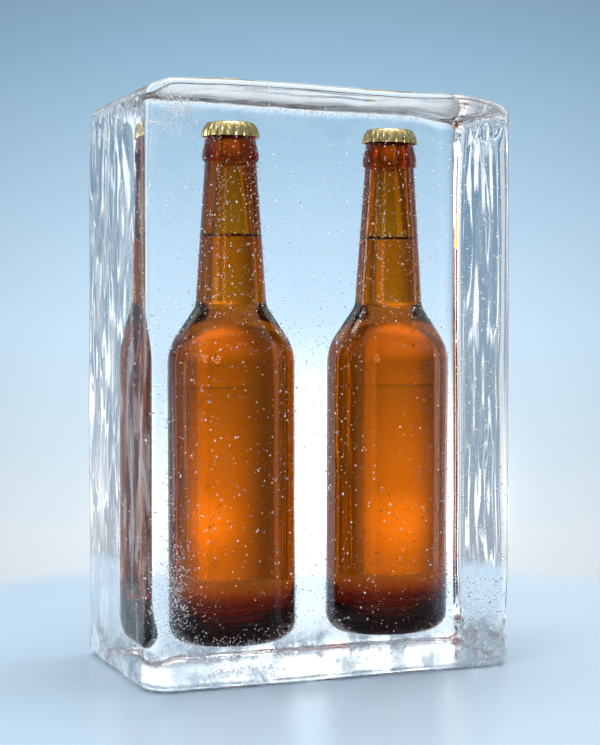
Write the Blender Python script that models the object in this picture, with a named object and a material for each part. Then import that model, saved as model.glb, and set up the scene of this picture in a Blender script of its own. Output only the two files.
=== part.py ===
"""A standing block of clear ice with two capped long-neck bottles of beer frozen in it.

Frame: metres, +Z up, origin at the centre of the block's base. The block's broad front faces -Y.
The ice is parted on the plane that holds both bottles' axes, so each bottle sits in a pocket.
"""

import math

import bpy
from mathutils import Matrix, Vector

MM = 0.001
GAP = 0.3 * MM

# The block of ice: its size, and how far melting has rounded each of its edges.
BLOCK_WIDTH = 190 * MM
BLOCK_DEPTH = 104 * MM
BLOCK_HEIGHT = 278 * MM
FRONT_LEFT_RADIUS = 4.5 * MM
FRONT_RIGHT_RADIUS = 13 * MM
BACK_RIGHT_RADIUS = 8 * MM
BACK_LEFT_RADIUS = 6 * MM
TOP_EDGE_RADIUS = 7 * MM
BASE_EDGE_RADIUS = 9 * MM
CORNER_STEPS = 3
EDGE_STEPS = 3
WIDE_SIDE_STEPS = 8
NARROW_SIDE_STEPS = 4
LEVELS = 9
SHARPEST_CORNER = 1.5 * MM
MELT_DEPTH = 0.8 * MM

# A long-neck bottle: sizes over the glass, and its wall.
BODY_RADIUS = 31.5 * MM
HEEL_RADIUS = 10 * MM
BASE_RING_RADIUS = 21.5 * MM
PUNT_HEIGHT = 3.5 * MM
BODY_TOP = 134 * MM
SHOULDER_ARC = 26 * MM
SHOULDER_SLOPE = math.radians(33)
NECK_FOOT_RADIUS = 17.3 * MM
NECK_FOOT_HEIGHT = 166 * MM
NECK_FILLET = 10 * MM
NECK_TOP_RADIUS = 12.7 * MM
NECK_TOP_HEIGHT = 231.5 * MM
COLLAR_RADIUS = 14 * MM
COLLAR_HEIGHT = 233.5 * MM
COLLAR_TOP_RADIUS = 12.4 * MM
COLLAR_TOP_HEIGHT = 242 * MM
MOUTH_HEIGHT = 249.9 * MM
LIP_RADIUS = 11.8 * MM
BORE_RADIUS = 8.2 * MM
WALL = 2.8 * MM
FLOOR_THICKNESS = 6 * MM
TURN_STEPS = 24

# The beer's surface, above the bottle's base.
BEER_LEVEL = 195.5 * MM

# A crimped crown cap.
CAP_HEIGHT = 7 * MM
CAP_TOP = 251 * MM
CAP_DISC_RADIUS = 11.6 * MM
CAP_SKIRT_RADIUS = 14 * MM
CAP_FLUTE_DEPTH = 0.45 * MM
CAP_FLUTES = 21
CAP_STEEL = 0.6 * MM

# Where each bottle stands in the block, and how it leans sideways.
BASE_LIFT = 13.5 * MM
AXIS_PLANE_Y = 8.9 * MM
BOTTLES = {
    "left": {"x": -39.3 * MM, "lean": math.radians(-0.18)},
    "right": {"x": 42.1 * MM, "lean": math.radians(0.36)},
}


def clear_scene():
    for old in list(bpy.data.objects):
        bpy.data.objects.remove(old, do_unlink=True)


def make_material(name, colour, roughness, metallic=0.0, transmission=0.0, ior=1.45):
    material = bpy.data.materials.new(name)
    material.use_nodes = True
    shader = material.node_tree.nodes["Principled BSDF"]
    shader.inputs["Base Color"].default_value = (*colour, 1.0)
    shader.inputs["Roughness"].default_value = roughness
    shader.inputs["Metallic"].default_value = metallic
    shader.inputs["Transmission Weight"].default_value = transmission
    shader.inputs["IOR"].default_value = ior
    return material


def make_object(name, points, faces, material):
    mesh = bpy.data.meshes.new(name)
    mesh.from_pydata(points, [], faces)
    mesh.validate()
    mesh.materials.append(material)
    thing = bpy.data.objects.new(name, mesh)
    bpy.context.scene.collection.objects.link(thing)
    return thing


def arc(centre, radius, start, end, steps):
    """Points (r, z) on an arc of a turned profile, from one angle to the other."""
    points = []
    for step in range(steps + 1):
        angle = start + (end - start) * step / steps
        points.append((centre[0] + radius * math.cos(angle), centre[1] + radius * math.sin(angle)))
    return points


# ---------------------------------------------------------------- turned shapes


def heel(radius, ring_radius, bottom, corner):
    """The rounded corner between a bottle's base and its side."""
    centre = (radius - corner, bottom + corner)
    points = arc(centre, corner, math.radians(-80), 0, 4)
    return [(ring_radius, bottom)] + points


def shoulder(radius, inset):
    """From the body's straight side, over the shoulder's arc and cone, to the foot of the neck."""
    arc_radius = SHOULDER_ARC - inset
    points = arc((radius - arc_radius, BODY_TOP), arc_radius, 0, SHOULDER_SLOPE, 4)
    fillet = NECK_FILLET + inset
    centre = (NECK_FOOT_RADIUS - inset + fillet, NECK_FOOT_HEIGHT)
    points += arc(centre, fillet, math.pi + SHOULDER_SLOPE, math.pi, 3)
    return points


def outer_profile():
    """The bottle's outside, from the middle of its base up to its lip."""
    points = [(0, PUNT_HEIGHT), (BASE_RING_RADIUS * 0.75, PUNT_HEIGHT * 0.6)]
    points += heel(BODY_RADIUS, BASE_RING_RADIUS, 0, HEEL_RADIUS)
    points += shoulder(BODY_RADIUS, 0)
    points.append((NECK_TOP_RADIUS, NECK_TOP_HEIGHT))
    points.append((COLLAR_RADIUS, COLLAR_HEIGHT))
    points.append((COLLAR_TOP_RADIUS, COLLAR_TOP_HEIGHT))
    points.append((LIP_RADIUS, MOUTH_HEIGHT - 1.2 * MM))
    points.append((LIP_RADIUS - 1.4 * MM, MOUTH_HEIGHT))
    return points


def inner_profile(inset, top):
    """The bottle's inside, from the middle of its floor up to a height, drawn in by an inset."""
    floor = PUNT_HEIGHT + FLOOR_THICKNESS + inset
    radius = BODY_RADIUS - WALL - inset
    corner = HEEL_RADIUS - 1 * MM
    points = [(0, floor)]
    points += heel(radius, radius - corner, floor - 2 * MM, corner)[1:]
    points += shoulder(radius, WALL + inset)
    foot = points[-1]
    neck_top = (NECK_TOP_RADIUS - WALL - inset, NECK_TOP_HEIGHT)
    share = (top - foot[1]) / (neck_top[1] - foot[1])
    if share < 1:
        points.append((foot[0] + (neck_top[0] - foot[0]) * share, top))
        return points
    points.append(neck_top)
    points.append((BORE_RADIUS - inset, top))
    return points


def turn(name, profile, material, steps=TURN_STEPS):
    """A closed body turned about Z. The profile starts and ends on the axis."""
    points = [(0, 0, profile[0][1])]
    for radius, height in profile[1:-1]:
        for step in range(steps):
            angle = 2 * math.pi * step / steps
            points.append((radius * math.cos(angle), radius * math.sin(angle), height))
    points.append((0, 0, profile[-1][1]))
    faces = []
    rings = len(profile) - 2
    for step in range(steps):
        after = (step + 1) % steps
        faces.append((0, 1 + after, 1 + step))
        for ring in range(rings - 1):
            low = 1 + ring * steps
            high = low + steps
            faces.append((low + step, low + after, high + after, high + step))
        last = 1 + (rings - 1) * steps
        faces.append((last + step, last + after, len(points) - 1))
    return make_object(name, points, faces, material)


def stand(thing, side):
    """Puts a turned shape where its bottle stands, leaning in the plane of both axes."""
    place = Matrix.Translation(Vector((BOTTLES[side]["x"], AXIS_PLANE_Y, BASE_LIFT)))
    thing.matrix_world = place @ Matrix.Rotation(BOTTLES[side]["lean"], 4, "Y")
    return thing


def make_bottle(side, material):
    """Amber glass, one wall thick, open at the mouth: its outside, then its inside turned back down."""
    inside = inner_profile(0, MOUTH_HEIGHT)
    profile = outer_profile() + inside[::-1]
    return stand(turn(side + "_bottle", profile, material), side)


def make_beer(side, material):
    """The drink, from the glass floor up to its level surface in the neck."""
    profile = inner_profile(GAP, BEER_LEVEL)
    profile.append((0, BEER_LEVEL))
    return stand(turn(side + "_beer", profile, material), side)


# ---------------------------------------------------------------- the crown cap


def fluted_ring(radius, height, depth):
    """One ring of a cap's skirt, two points to a flute."""
    points = []
    count = 2 * CAP_FLUTES
    for step in range(count):
        angle = 2 * math.pi * step / count
        reach = radius + depth * (1 if step % 2 == 0 else -1)
        points.append((reach * math.cos(angle), reach * math.sin(angle), height))
    return points


def make_cap(side, material):
    """A pressed steel cup: a flat disc, a rounded edge, and a skirt crimped into flutes."""
    bottom = CAP_TOP - CAP_HEIGHT
    inner_top = MOUTH_HEIGHT + GAP
    skirt_inner = CAP_SKIRT_RADIUS - CAP_STEEL
    rings = [
        fluted_ring(CAP_DISC_RADIUS - 1 * MM, CAP_TOP, 0),
        fluted_ring(CAP_DISC_RADIUS + 0.6 * MM, CAP_TOP - 1.1 * MM, CAP_FLUTE_DEPTH * 0.3),
        fluted_ring(CAP_SKIRT_RADIUS - 0.9 * MM, CAP_TOP - 3.6 * MM, CAP_FLUTE_DEPTH * 0.8),
        fluted_ring(CAP_SKIRT_RADIUS, bottom, CAP_FLUTE_DEPTH),
        fluted_ring(skirt_inner, bottom, CAP_FLUTE_DEPTH),
        fluted_ring(LIP_RADIUS + GAP + 0.1 * MM, inner_top - 1 * MM, 0),
        fluted_ring(LIP_RADIUS - 1 * MM, inner_top, 0),
    ]
    count = 2 * CAP_FLUTES
    points = [(0, 0, CAP_TOP)]
    for ring in rings:
        points += ring
    points.append((0, 0, inner_top))
    faces = []
    for step in range(count):
        after = (step + 1) % count
        faces.append((0, 1 + step, 1 + after))
        for ring in range(len(rings) - 1):
            upper = 1 + ring * count
            lower = upper + count
            faces.append((upper + step, lower + step, lower + after, upper + after))
        last = 1 + (len(rings) - 1) * count
        faces.append((last + after, last + step, len(points) - 1))
    return stand(make_object(side + "_cap", points, faces, material), side)


# ---------------------------------------------------------------- the ice


def side_outline(inset):
    """The block's plan outline, drawn in by an inset, with a rounded corner of its own size at each corner."""
    half_width = BLOCK_WIDTH / 2 - inset
    half_depth = BLOCK_DEPTH / 2 - inset
    corners = [
        (half_width, -half_depth, FRONT_RIGHT_RADIUS, -90, WIDE_SIDE_STEPS),
        (half_width, half_depth, BACK_RIGHT_RADIUS, 0, NARROW_SIDE_STEPS),
        (-half_width, half_depth, BACK_LEFT_RADIUS, 90, WIDE_SIDE_STEPS),
        (-half_width, -half_depth, FRONT_LEFT_RADIUS, 180, NARROW_SIDE_STEPS),
    ]
    outline = []
    for x, y, full_radius, start, steps_before in corners:
        radius = max(full_radius - inset, SHARPEST_CORNER)
        centre = (x - math.copysign(radius, x), y - math.copysign(radius, y))
        turned = arc(centre, radius, math.radians(start), math.radians(start + 90), CORNER_STEPS)
        if outline:
            outline += between(outline[-1], turned[0], steps_before)
        outline += turned
    outline += between(outline[-1], outline[0], WIDE_SIDE_STEPS)
    return outline


def between(start, end, steps):
    """Points that part a straight side into even steps, its ends left out."""
    points = []
    for step in range(1, steps):
        share = step / steps
        points.append((start[0] + (end[0] - start[0]) * share, start[1] + (end[1] - start[1]) * share))
    return points


def melt(x, y, z):
    """How far melting has drawn the side in, from 0 to 1: slow waves that run mostly upright."""
    around = x / BLOCK_WIDTH * 9 - y / BLOCK_DEPTH * 7
    upward = z / BLOCK_HEIGHT
    wave = math.sin(around * 2.1 + 2.2 * upward) + 0.6 * math.sin(around * 4.3 - 3.1 * upward + 1.2)
    return 0.5 + 0.5 * wave / 1.6


def side_levels():
    """(height, inset) of each ring up the block: the rounded base edge, the side, the rounded top edge."""
    levels = []
    for step in range(EDGE_STEPS + 1):
        angle = math.radians(90) * step / EDGE_STEPS
        drop = BASE_EDGE_RADIUS * (1 - math.cos(angle))
        levels.append((BASE_EDGE_RADIUS * (1 - math.cos(angle)), BASE_EDGE_RADIUS * (1 - math.sin(angle))))
    straight = BLOCK_HEIGHT - BASE_EDGE_RADIUS - TOP_EDGE_RADIUS
    for step in range(1, LEVELS):
        levels.append((BASE_EDGE_RADIUS + straight * step / LEVELS, 0))
    for step in range(EDGE_STEPS + 1):
        angle = math.radians(90) * step / EDGE_STEPS
        height = BLOCK_HEIGHT - TOP_EDGE_RADIUS * (1 - math.sin(angle))
        levels.append((height, TOP_EDGE_RADIUS * (1 - math.cos(angle))))
    return levels


def make_block(material):
    """The whole block, before it is parted: rings of the plan outline, closed by a flat base and top."""
    levels = side_levels()
    points = []
    for height, inset in levels:
        for x, y in side_outline(inset):
            draw = 1 - MELT_DEPTH * melt(x, y, height) / (BLOCK_DEPTH / 2)
            points.append((x * draw, y * draw, height))
    count = len(points) // len(levels)
    faces = []
    for ring in range(len(levels) - 1):
        for step in range(count):
            after = (step + 1) % count
            low = ring * count
            high = low + count
            faces.append((low + step, low + after, high + after, high + step))
    faces.append(tuple(range(count - 1, -1, -1)))
    top = (len(levels) - 1) * count
    faces.append(tuple(range(top, top + count)))
    centre_plan(points)
    return make_object("whole_block", points, faces, material)


def centre_plan(points):
    """Moves the points so that the block's box is centred on the Z axis."""
    middle_x = (min(p[0] for p in points) + max(p[0] for p in points)) / 2
    middle_y = (min(p[1] for p in points) + max(p[1] for p in points)) / 2
    for index, (x, y, z) in enumerate(points):
        points[index] = (x - middle_x, y - middle_y, z)


def pocket_profile():
    """The room that a capped bottle leaves in the ice: its outside and its cap's, a gap larger."""
    outside = outer_profile()
    outside = [p for p in outside if p[1] < COLLAR_TOP_HEIGHT - 1 * MM]
    points = [(0, -GAP)]
    for radius, height in outside[2:]:
        points.append((radius + GAP, height - GAP if height <= 0 else height))
    cap_bottom = CAP_TOP - CAP_HEIGHT - GAP
    reach = CAP_SKIRT_RADIUS + CAP_FLUTE_DEPTH + GAP
    points.append((COLLAR_TOP_RADIUS + GAP, cap_bottom - 1 * MM))
    points.append((reach, cap_bottom))
    points.append((reach - 0.6 * MM, CAP_TOP - 3.6 * MM))
    points.append((CAP_DISC_RADIUS + 1.2 * MM, CAP_TOP - 0.8 * MM))
    points.append((CAP_DISC_RADIUS, CAP_TOP + GAP))
    points.append((0, CAP_TOP + GAP))
    return points


def hide_cutter(thing):
    thing.hide_render = True
    thing.display_type = "WIRE"


def cut(thing, cutter):
    """Takes the cutter's shape out of a piece."""
    modifier = thing.modifiers.new("cut", "BOOLEAN")
    modifier.operation = "DIFFERENCE"
    modifier.solver = "EXACT"
    modifier.object = cutter


def half_space(name, low_y, high_y, material):
    """A box that covers all of the block on one side of the parting plane."""
    reach = BLOCK_WIDTH
    low_z = -0.02
    high_z = BLOCK_HEIGHT + 0.02
    points = []
    for z in (low_z, high_z):
        points += [(-reach, low_y, z), (reach, low_y, z), (reach, high_y, z), (-reach, high_y, z)]
    faces = [(3, 2, 1, 0), (4, 5, 6, 7), (0, 1, 5, 4), (1, 2, 6, 5), (2, 3, 7, 6), (3, 0, 4, 7)]
    box = make_object(name, points, faces, material)
    hide_cutter(box)
    return box


def make_ice(material):
    """Both halves of the ice, each with half of both pockets in its parting face."""
    block = make_block(material)
    hide_cutter(block)
    pockets = []
    for side in BOTTLES:
        pocket = stand(turn(side + "_pocket", pocket_profile(), material), side)
        hide_cutter(pocket)
        pockets.append(pocket)
    far = BLOCK_DEPTH
    behind = half_space("behind", AXIS_PLANE_Y - GAP / 2, far, material)
    before = half_space("before", -far, AXIS_PLANE_Y + GAP / 2, material)
    for name, other_side in (("ice_front", behind), ("ice_back", before)):
        half = bpy.data.objects.new(name, block.data.copy())
        bpy.context.scene.collection.objects.link(half)
        cut(half, other_side)
        for pocket in pockets:
            cut(half, pocket)


def main():
    clear_scene()
    ice = make_material("ice", (0.86, 0.94, 0.98), 0.06, transmission=1.0, ior=1.31)
    glass = make_material("amber_glass", (0.42, 0.16, 0.02), 0.04, transmission=0.9, ior=1.52)
    beer = make_material("beer", (0.88, 0.45, 0.06), 0.02, transmission=0.9, ior=1.34)
    gold = make_material("gold_steel", (0.70, 0.56, 0.27), 0.32, metallic=1.0)
    make_ice(ice)
    for side in BOTTLES:
        make_bottle(side, glass)
        make_beer(side, beer)
        make_cap(side, gold)


main()
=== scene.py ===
"""The looks of a standing block of clear ice with two capped bottles of beer frozen in it.

Metres, +Z up, origin at the centre of the block's base, broad front towards -Y: the frame's own.
"""

import math
import random

import bmesh
import bpy
import numpy as np
from mathutils import Matrix, Vector, noise


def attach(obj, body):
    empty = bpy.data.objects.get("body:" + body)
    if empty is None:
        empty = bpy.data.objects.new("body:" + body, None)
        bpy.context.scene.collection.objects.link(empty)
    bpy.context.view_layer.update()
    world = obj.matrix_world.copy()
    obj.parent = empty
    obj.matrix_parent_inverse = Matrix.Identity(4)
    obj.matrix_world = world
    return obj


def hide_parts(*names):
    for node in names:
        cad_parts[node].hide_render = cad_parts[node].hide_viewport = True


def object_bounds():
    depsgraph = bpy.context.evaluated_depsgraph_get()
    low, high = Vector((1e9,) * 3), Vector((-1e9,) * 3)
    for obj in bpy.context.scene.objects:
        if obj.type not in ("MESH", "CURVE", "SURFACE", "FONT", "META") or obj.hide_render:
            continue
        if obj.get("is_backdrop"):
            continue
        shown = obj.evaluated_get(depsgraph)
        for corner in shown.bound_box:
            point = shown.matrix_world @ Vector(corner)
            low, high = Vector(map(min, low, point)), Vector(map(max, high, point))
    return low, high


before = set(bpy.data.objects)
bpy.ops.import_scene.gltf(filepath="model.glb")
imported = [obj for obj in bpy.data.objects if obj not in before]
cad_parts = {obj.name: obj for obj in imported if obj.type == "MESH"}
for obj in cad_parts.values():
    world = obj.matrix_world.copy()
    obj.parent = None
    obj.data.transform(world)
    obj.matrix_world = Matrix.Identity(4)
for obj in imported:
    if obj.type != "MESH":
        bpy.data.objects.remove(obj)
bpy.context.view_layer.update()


# ------------------------------------------------------------------------------ the bottles
# Two long-neck bottles of brown glass, blown in a mould: a straight body with a shallow label
# panel, a round shoulder, a slim neck, a bead below the mouth, and a ring to stand on.

MM = 0.001
BODY_RADIUS = 31.5 * MM
HEEL_RADIUS = 10 * MM
BASE_RING_RADIUS = 21.5 * MM
PUNT_HEIGHT = 3.5 * MM
BODY_TOP = 134 * MM
SHOULDER_ARC = 26 * MM
SHOULDER_SLOPE = math.radians(33)
NECK_FOOT_RADIUS = 17.3 * MM
NECK_FOOT_HEIGHT = 166 * MM
NECK_FILLET = 10 * MM
NECK_TOP_RADIUS = 12.7 * MM
NECK_TOP_HEIGHT = 231.5 * MM
COLLAR_OUTLINE = [
    (12.9 * MM, 231.9 * MM), (13.5 * MM, 232.3 * MM), (13.9 * MM, 233.0 * MM), (14.0 * MM, 234.0 * MM),
    (13.95 * MM, 235.5 * MM), (13.75 * MM, 237.0 * MM), (13.3 * MM, 238.6 * MM), (12.9 * MM, 240.0 * MM),
    (12.6 * MM, 241.2 * MM), (12.4 * MM, 242.4 * MM), (12.2 * MM, 244.5 * MM),
]
NECK_STEPS = 14
LABEL_TOP = 124.5 * MM
PANEL_BEAD = 0.07 * MM
PANEL_BEAD_STEP = 0.4 * MM
MOUTH_HEIGHT = 249.9 * MM
LIP_RADIUS = 11.8 * MM
BORE_RADIUS = 5.6 * MM
WALL = 2.8 * MM
NECK_TOP_WALL = 4.7 * MM
FLOOR_THICKNESS = 6 * MM
INNER_HEEL_RADIUS = 19 * MM
BASE_LIFT = 13.5 * MM
AXIS_PLANE_Y = 8.9 * MM
STANDING = {
    "left": (-39.3 * MM, math.radians(-0.18)),
    "right": (42.1 * MM, math.radians(0.36)),
}
TURN_STEPS = 160


def arc(centre, radius, start, end, steps):
    """Points (r, z) on an arc of a turned outline."""
    angles = np.linspace(start, end, steps + 1)
    return [(centre[0] + radius * math.cos(a), centre[1] + radius * math.sin(a)) for a in angles]


def shoulder(radius, inset):
    """From the straight side, over the shoulder's arc and cone, to the foot of the neck."""
    arc_radius = SHOULDER_ARC - inset
    points = arc((radius - arc_radius, BODY_TOP), arc_radius, 0, SHOULDER_SLOPE, 14)
    fillet = NECK_FILLET + inset
    centre = (NECK_FOOT_RADIUS - inset + fillet, NECK_FOOT_HEIGHT)
    return points + arc(centre, fillet, math.pi + SHOULDER_SLOPE, math.pi, 10)


def neck(foot, top):
    """Rings up the straight taper of the neck, closer together near its ends."""
    shares = (1 - np.cos(np.linspace(0, math.pi, NECK_STEPS + 1)[1:])) / 2
    return [(foot[0] + (top[0] - foot[0]) * s, foot[1] + (top[1] - foot[1]) * s) for s in shares]


def glass_outside(grow=0.0):
    """The outside of the glass, from the middle of the base to the top of the lip."""
    points = [(0, PUNT_HEIGHT - grow), (BASE_RING_RADIUS * 0.5, PUNT_HEIGHT * 0.85 - grow)]
    points.append((BASE_RING_RADIUS * 0.8, PUNT_HEIGHT * 0.45 - grow))
    points.append((BASE_RING_RADIUS, -grow))
    centre = (BODY_RADIUS - HEEL_RADIUS, HEEL_RADIUS)
    points += arc(centre, HEEL_RADIUS + grow, math.radians(-80), 0, 12)
    for step in range(9):
        bulge = PANEL_BEAD * math.sin(math.pi * step / 8) ** 2
        points.append((BODY_RADIUS + grow + bulge, LABEL_TOP + (step - 4) * PANEL_BEAD_STEP))
    points += shoulder(BODY_RADIUS + grow, -grow)
    points += neck(points[-1], (NECK_TOP_RADIUS + grow, NECK_TOP_HEIGHT))
    for radius, height in COLLAR_OUTLINE:
        points.append((radius + grow, height))
    return points


def glass_inside(inset, top):
    """The inside of the glass, from the middle of its floor up to a height."""
    floor = PUNT_HEIGHT + FLOOR_THICKNESS + inset
    radius = BODY_RADIUS - WALL - inset
    points = [(0, floor), (radius * 0.45, floor + 0.3 * MM)]
    centre = (radius - INNER_HEEL_RADIUS, floor + 0.6 * MM + INNER_HEEL_RADIUS)
    points += arc(centre, INNER_HEEL_RADIUS, math.radians(-80), 0, 12)
    points += shoulder(radius, WALL + inset)
    foot = points[-1]
    neck_top = (NECK_TOP_RADIUS - NECK_TOP_WALL - inset, NECK_TOP_HEIGHT)
    share = (top - foot[1]) / (neck_top[1] - foot[1])
    if share < 1:
        return points + neck(foot, (foot[0] + (neck_top[0] - foot[0]) * share, top))
    return points + neck(foot, neck_top) + [(BORE_RADIUS - inset, top)]


def turn(name, outline, steps=TURN_STEPS):
    """A closed body turned about Z. The outline starts and ends on the axis."""
    points = [(0, 0, outline[0][1])]
    for radius, height in outline[1:-1]:
        for step in range(steps):
            angle = 2 * math.pi * step / steps
            points.append((radius * math.cos(angle), radius * math.sin(angle), height))
    points.append((0, 0, outline[-1][1]))
    faces = []
    rings = len(outline) - 2
    for step in range(steps):
        after = (step + 1) % steps
        faces.append((0, 1 + after, 1 + step))
        for ring in range(rings - 1):
            low = 1 + ring * steps
            high = low + steps
            faces.append((low + step, low + after, high + after, high + step))
        last = 1 + (rings - 1) * steps
        faces.append((last + step, last + after, len(points) - 1))
    return make_piece(name, points, faces)


def make_piece(name, points, faces, sharp=math.radians(40)):
    """A piece in the scene, smooth except where it turns by more than an angle."""
    mesh = bpy.data.meshes.new(name)
    mesh.from_pydata(points, [], faces)
    mesh.validate()
    mesh.shade_smooth()
    mesh.set_sharp_from_angle(angle=sharp)
    piece = bpy.data.objects.new(name, mesh)
    bpy.context.scene.collection.objects.link(piece)
    return piece


def stand(piece, side):
    """Puts a turned piece where its bottle stands, leaning as its bottle leans."""
    x, lean = STANDING[side]
    place = Matrix.Translation(Vector((x, AXIS_PLANE_Y, BASE_LIFT)))
    piece.data.transform(place @ Matrix.Rotation(lean, 4, "Y"))
    return piece


def make_material(name, **values):
    """A Principled material with plain values on its own sockets."""
    material = bpy.data.materials.new(name)
    material.use_nodes = True
    shader = material.node_tree.nodes["Principled BSDF"]
    for socket, value in values.items():
        shader.inputs[socket.replace("_", " ")].default_value = value
    return material


# the setting that a kind of node takes its mode in, and the sockets that are told apart by place
NODE_MODES = {
    "Math": "operation", "VectorMath": "operation", "MapRange": "interpolation_type", "Mix": "data_type",
}
IN_TURN = {"first": 0, "second": 1, "third": 2}


def add_node(tree, kind, mode=None, **sockets):
    """A shader node. Its sockets, by name or in turn, get a value or another node's output."""
    made = tree.nodes.new("ShaderNode" + kind)
    if mode:
        setattr(made, NODE_MODES[kind], mode)
    for socket, value in sockets.items():
        target = made.inputs[IN_TURN.get(socket, socket.replace("_", " "))]
        if isinstance(value, bpy.types.NodeSocket):
            tree.links.new(value, target)
        else:
            target.default_value = value
    return made


def feed(material, socket, output):
    """Leads a node's output to a socket of the material's shader."""
    tree = material.node_tree
    tree.links.new(output, tree.nodes["Principled BSDF"].inputs[socket])


def add_absorption(material, colour, density):
    """Gives a clear body its colour with depth."""
    tree = material.node_tree
    absorb = add_node(tree, "VolumeAbsorption", Color=(*colour, 1), Density=density)
    tree.links.new(absorb.outputs["Volume"], tree.nodes["Material Output"].inputs["Volume"])


def mottle(material, socket, scale, low, high):
    """Varies one value or colour of a material in soft patches of so many per metre."""
    tree = material.node_tree
    coords = add_node(tree, "TexCoord")
    patches = add_node(tree, "TexNoise", Vector=coords.outputs["Object"], Scale=scale, Detail=3)
    share = patches.outputs["Fac"]
    if isinstance(low, tuple):
        spread = add_node(tree, "Mix", "RGBA", A=(*low, 1), B=(*high, 1), Factor=share)
    else:
        spread = add_node(
            tree, "MapRange", Value=share, From_Min=0.3, From_Max=0.7, To_Min=low, To_Max=high
        )
    feed(material, socket, spread.outputs["Result"])


brown_glass = make_material(
    "brown_glass", Base_Color=(1, 1, 1, 1), Roughness=0.0, IOR=1.52, Transmission_Weight=1.0,
    Specular_Tint=(0.2, 0.14, 0.1, 1),
)
add_absorption(brown_glass, (0.91, 0.745, 0.03), 1000)

for side in STANDING:
    outside = glass_outside()
    lip = [(LIP_RADIUS, MOUTH_HEIGHT - 1.2 * MM), (LIP_RADIUS - 1.4 * MM, MOUTH_HEIGHT)]
    inside = glass_inside(0, MOUTH_HEIGHT)
    bottle = stand(turn(side + "_bottle_glass", outside + lip + inside[::-1]), side)
    bottle.data.materials.append(brown_glass)
    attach(bottle, "root")
    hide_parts(side + "_bottle")


# ------------------------------------------------------------------------------ the beer
# Pale lager, filled to well up the neck, where its surface is level and its rim climbs the glass.
# A little froth floats on it, in small bubbles that hold to the glass.

BEER_LEVEL = 195.5 * MM
MENISCUS = 1.6 * MM
MENISCUS_STEP = 0.45 * MM
MENISCUS_FADE = 2.2
WETTING = 0.1 * MM

beer_look = make_material(
    "lager", Base_Color=(1, 1, 1, 1), Roughness=0.0, IOR=1.34, Transmission_Weight=1.0,
    Specular_Tint=(0.30, 0.16, 0.07, 1),
)
add_absorption(beer_look, (0.822, 0.56, 0.1), 50)

for side in STANDING:
    outline = glass_inside(-WETTING, BEER_LEVEL + MENISCUS)
    rim = outline[-1][0]
    for step in range(1, 9):
        climb = math.exp(-step / MENISCUS_FADE)
        outline.append((rim - MENISCUS_STEP * step, BEER_LEVEL + MENISCUS * climb))
    outline.append((0, BEER_LEVEL))
    beer = stand(turn(side + "_lager", outline), side)
    beer.data.materials.append(beer_look)
    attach(beer, "root")
    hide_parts(side + "_beer")


foam = random.Random(5)
froth_look = make_material(
    "froth", Base_Color=(0.9, 0.72, 0.45, 1), Roughness=0.1, IOR=1.33, Transmission_Weight=0.7
)
mottle(froth_look, "Roughness", 400, 0.05, 0.25)


def ball_mesh(steps):
    """The points and faces of a ball of radius 1, rounder with more steps."""
    mesh = bmesh.new()
    bmesh.ops.create_icosphere(mesh, subdivisions=steps, radius=1)
    points = np.array([vertex.co[:] for vertex in mesh.verts])
    faces = [[vertex.index for vertex in face.verts] for face in mesh.faces]
    mesh.free()
    return points, faces


ROUND_BALL = ball_mesh(2)


def make_froth(side, count):
    """A ring of small bubbles that float on the beer, against the glass."""
    ball, ball_faces = ROUND_BALL
    reach = glass_inside(0, BEER_LEVEL)[-1][0]
    points = []
    faces = []
    for number in range(count):
        angle = foam.uniform(0, 2 * math.pi)
        radius = foam.uniform(0.25, 0.62) * MM
        out = reach - radius - 0.15 * MM - foam.random() ** 2 * 1.8 * MM
        height = BEER_LEVEL + 0.6 * radius + foam.random() ** 2 * 1.0 * MM
        first = len(points)
        points += (ball * radius + (out * math.cos(angle), out * math.sin(angle), height)).tolist()
        faces += [[first + corner for corner in face] for face in ball_faces]
    froth = stand(make_piece(side + "_froth", points, faces), side)
    froth.data.materials.append(froth_look)
    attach(froth, "root")


make_froth("left", 110)
make_froth("right", 26)


# ------------------------------------------------------------------------------ the crown caps
# Tinplate discs, gold lacquered, pressed over the mouth and crimped round it into 21 flutes.
# Each is closed below by its lining, just above the lip of the glass.

CAP_TOP = 251 * MM
CAP_HEIGHT = 7 * MM
CAP_DISC_RADIUS = 11.6 * MM
CAP_SKIRT_RADIUS = 14 * MM
CAP_FLUTE_DEPTH = 0.6 * MM
CAP_FLUTES = 21
VALLEY_SHARPNESS = 2.2
CAP_STEEL = 0.5 * MM
CAP_SHOULDER_IN = 1.0 * MM
CAP_LINING = MOUTH_HEIGHT + 0.3 * MM
CAP_STEPS = 252


def flute_ring(radius, height, depth):
    """One ring of the cap: round crests with narrower valleys between them."""
    ring = []
    for step in range(CAP_STEPS):
        angle = 2 * math.pi * step / CAP_STEPS
        wave = math.cos(angle * CAP_FLUTES)
        reach = radius + depth * (1 - 2 * ((1 - wave) / 2) ** VALLEY_SHARPNESS)
        ring.append((reach * math.cos(angle), reach * math.sin(angle), height))
    return ring


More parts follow.
